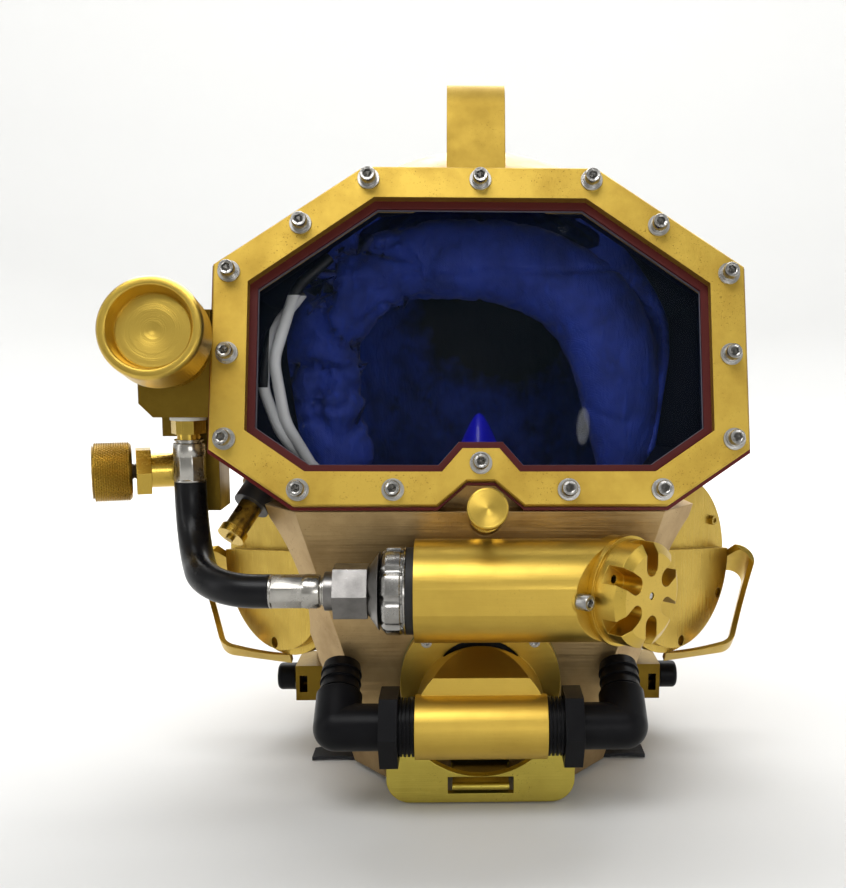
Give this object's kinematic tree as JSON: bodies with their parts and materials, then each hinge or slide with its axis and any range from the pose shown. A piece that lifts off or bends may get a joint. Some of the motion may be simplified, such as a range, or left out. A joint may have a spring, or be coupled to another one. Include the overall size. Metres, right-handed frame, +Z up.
{
  "type": "diving helmet",
  "caption": "Surface-supplied brass diving helmet: bolted octagonal face port, demand regulator, side block valves, barbed exhaust elbows, ear covers, carry handles and hinged neck ring.",
  "frame": {"origin": "centre of the neck opening, on the plane the helmet stands on", "axes": "the face looks along -Y, +Z is up, +X is the wearer's left; units are metres"},
  "size_m": [0.3708, 0.3013, 0.372],
  "materials": {
    "shell_bronze": "brushed, worn",
    "frame_brass": "satin, tarnished",
    "fitting_brass": "machined",
    "port_clear": "clear, dark behind",
    "gasket_red": "matte",
    "gasket_green": "matte",
    "steel": "machined",
    "nickel": "plated, worn",
    "chrome_plate": "polished",
    "black_nylon": "moulded",
    "black_rubber": "matte",
    "hose_rubber": "smooth",
    "grey_nylon": "moulded",
    "white_nylon": "moulded",
    "wire_white": "jacket",
    "liner_cloth": "quilted",
    "mask_silicone": "soft",
    "dam_neoprene": "soft"
  },
  "bodies": {
    "helmet": {"helmet_shell": "shell_bronze", "face_frame": "frame_brass", "port_gasket": "gasket_red", "face_port": "port_clear", "port_screws": "steel", "port_washers": "steel", "top_handle": "frame_brass", "ear_covers": "shell_bronze", "ear_gaskets": "gasket_green", "small_screws": "fitting_brass", "earphones_and_microphone": "grey_nylon", "side_handles": "fitting_brass", "side_block": "shell_bronze", "free_flow_bonnet": "fitting_brass", "emergency_bonnet": "fitting_brass", "supply_inlet": "nickel", "hose_washer": "white_nylon", "hose_fitting": "fitting_brass", "hose_ferrules": "chrome_plate", "supply_hose": "hose_rubber", "regulator_body": "fitting_brass", "regulator_cover": "fitting_brass", "cover_screws": "steel", "regulator_nut": "fitting_brass", "inlet_seal_ring": "black_rubber", "hose_swivel_nut": "nickel", "nose_gland": "fitting_brass", "oral_nasal_mask": "mask_silicone", "exhaust_body": "fitting_brass", "exhaust_gasket": "gasket_green", "exhaust_valve": "black_rubber", "elbows": "black_nylon", "elbow_nuts": "black_nylon", "chin_plate": "fitting_brass", "latch_brackets": "shell_bronze", "comms_terminal": "grey_nylon", "comms_wires": "wire_white", "head_liner": "liner_cloth", "strap_ends": "black_rubber"},
    "free_flow_control": {"free_flow_knob": "fitting_brass", "free_flow_stem": "steel"},
    "free_flow_seat": {"free_flow_poppet": "white_nylon"},
    "emergency_control": {"emergency_knob": "fitting_brass", "emergency_stem": "steel"},
    "emergency_seat": {"emergency_poppet": "white_nylon"},
    "nose_seal": {"nose_packing": "black_rubber"},
    "nose_adjuster": {"nose_shaft": "steel", "nose_knob": "fitting_brass", "nose_pad": "black_rubber"},
    "purge": {"purge_pin": "steel", "diaphragm": "black_rubber"},
    "lever": {"demand_lever": "steel"},
    "demand_valve": {"demand_poppet": "fitting_brass"},
    "coupling": {"inlet_wheel": "chrome_plate"},
    "check_valve": {"check_valve_poppet": "white_nylon"},
    "latch_left": {"latch_pin_left": "black_nylon"},
    "latch_right": {"latch_pin_right": "black_nylon"},
    "neck": {"neck_ring": "fitting_brass", "neck_dam": "dam_neoprene"},
    "terminal_nut": {"comms_thumb_nut": "fitting_brass"}
  },
  "joints": [
    {"name": "free_flow_turn", "type": "hinge", "parent": "helmet", "child": "free_flow_control", "pos_m": [-0.1548, -0.11517, 0.23237], "axis": [0, -0.9659, 0.2588], "range_deg": [0, 360]},
    {"name": "free_flow_lift", "type": "slide", "parent": "helmet", "child": "free_flow_seat", "axis": [0, -0.9659, 0.2588], "range_m": [0, 0.002]},
    {"name": "emergency_turn", "type": "hinge", "parent": "helmet", "child": "emergency_control", "pos_m": [-0.1477, -0.0793, 0.166], "axis": [-0.9563, -0.2924, 0], "range_deg": [0, 360]},
    {"name": "emergency_lift", "type": "slide", "parent": "helmet", "child": "emergency_seat", "axis": [-0.9563, -0.2924, 0], "range_m": [0, 0.001]},
    {"name": "nose_turn", "type": "hinge", "parent": "helmet", "child": "nose_seal", "pos_m": [0.0025, -0.13726, 0.14993], "axis": [0, -0.9659, 0.2588], "range_deg": [0, 360]},
    {"name": "nose_slide", "type": "slide", "parent": "nose_seal", "child": "nose_adjuster", "axis": [0, 0.9659, -0.2588], "range_m": [0, 0.026]},
    {"name": "purge_press", "type": "slide", "parent": "helmet", "child": "purge", "axis": [-0.7071, 0.7071, 0], "range_m": [0, 0.003], "stiffness_N_per_m": 300, "springref_m": -0.002},
    {"name": "lever_swing", "type": "hinge", "parent": "helmet", "child": "lever", "pos_m": [0.04, -0.144, 0.1156], "axis": [0, 0, 1], "range_deg": [0, 8]},
    {"name": "demand_lift", "type": "slide", "parent": "helmet", "child": "demand_valve", "axis": [1, 0, 0], "range_m": [0, 0.000838]},
    {"name": "coupling_turn", "type": "hinge", "parent": "helmet", "child": "coupling", "pos_m": [-0.0424, -0.15, 0.1156], "axis": [1, 0, 0], "continuous": true},
    {"name": "check_lift", "type": "slide", "parent": "helmet", "child": "check_valve", "axis": [0, -1, 0], "range_m": [0, 0.003], "stiffness_N_per_m": 100, "springref_m": -0.002},
    {"name": "latch_pull_left", "type": "slide", "parent": "helmet", "child": "latch_left", "axis": [1, 0, 0], "range_m": [0, 0.008], "stiffness_N_per_m": 200, "springref_m": -0.006},
    {"name": "latch_pull_right", "type": "slide", "parent": "helmet", "child": "latch_right", "axis": [-1, 0, 0], "range_m": [0, 0.008], "stiffness_N_per_m": 200, "springref_m": -0.006},
    {"name": "neck_swing", "type": "hinge", "parent": "helmet", "child": "neck", "pos_m": [0, -0.132, 0.0101], "axis": [-1, 0, 0], "range_deg": [0, 35]},
    {"name": "terminal_nut_turn", "type": "hinge", "parent": "helmet", "child": "terminal_nut", "pos_m": [-0.1209, -0.08, 0.149], "axis": [-0.42, -0.586, -0.693], "continuous": true}
  ],
  "couplings": [
    {"joint": "free_flow_lift", "follows": "free_flow_turn", "m_per_rad": 0.00031799},
    {"joint": "emergency_lift", "follows": "emergency_turn", "m_per_rad": 0.000159},
    {"joint": "lever_swing", "follows": "purge_press", "rad_per_m": 46.496},
    {"joint": "demand_lift", "follows": "purge_press", "ratio": 0.27897}
  ]
}
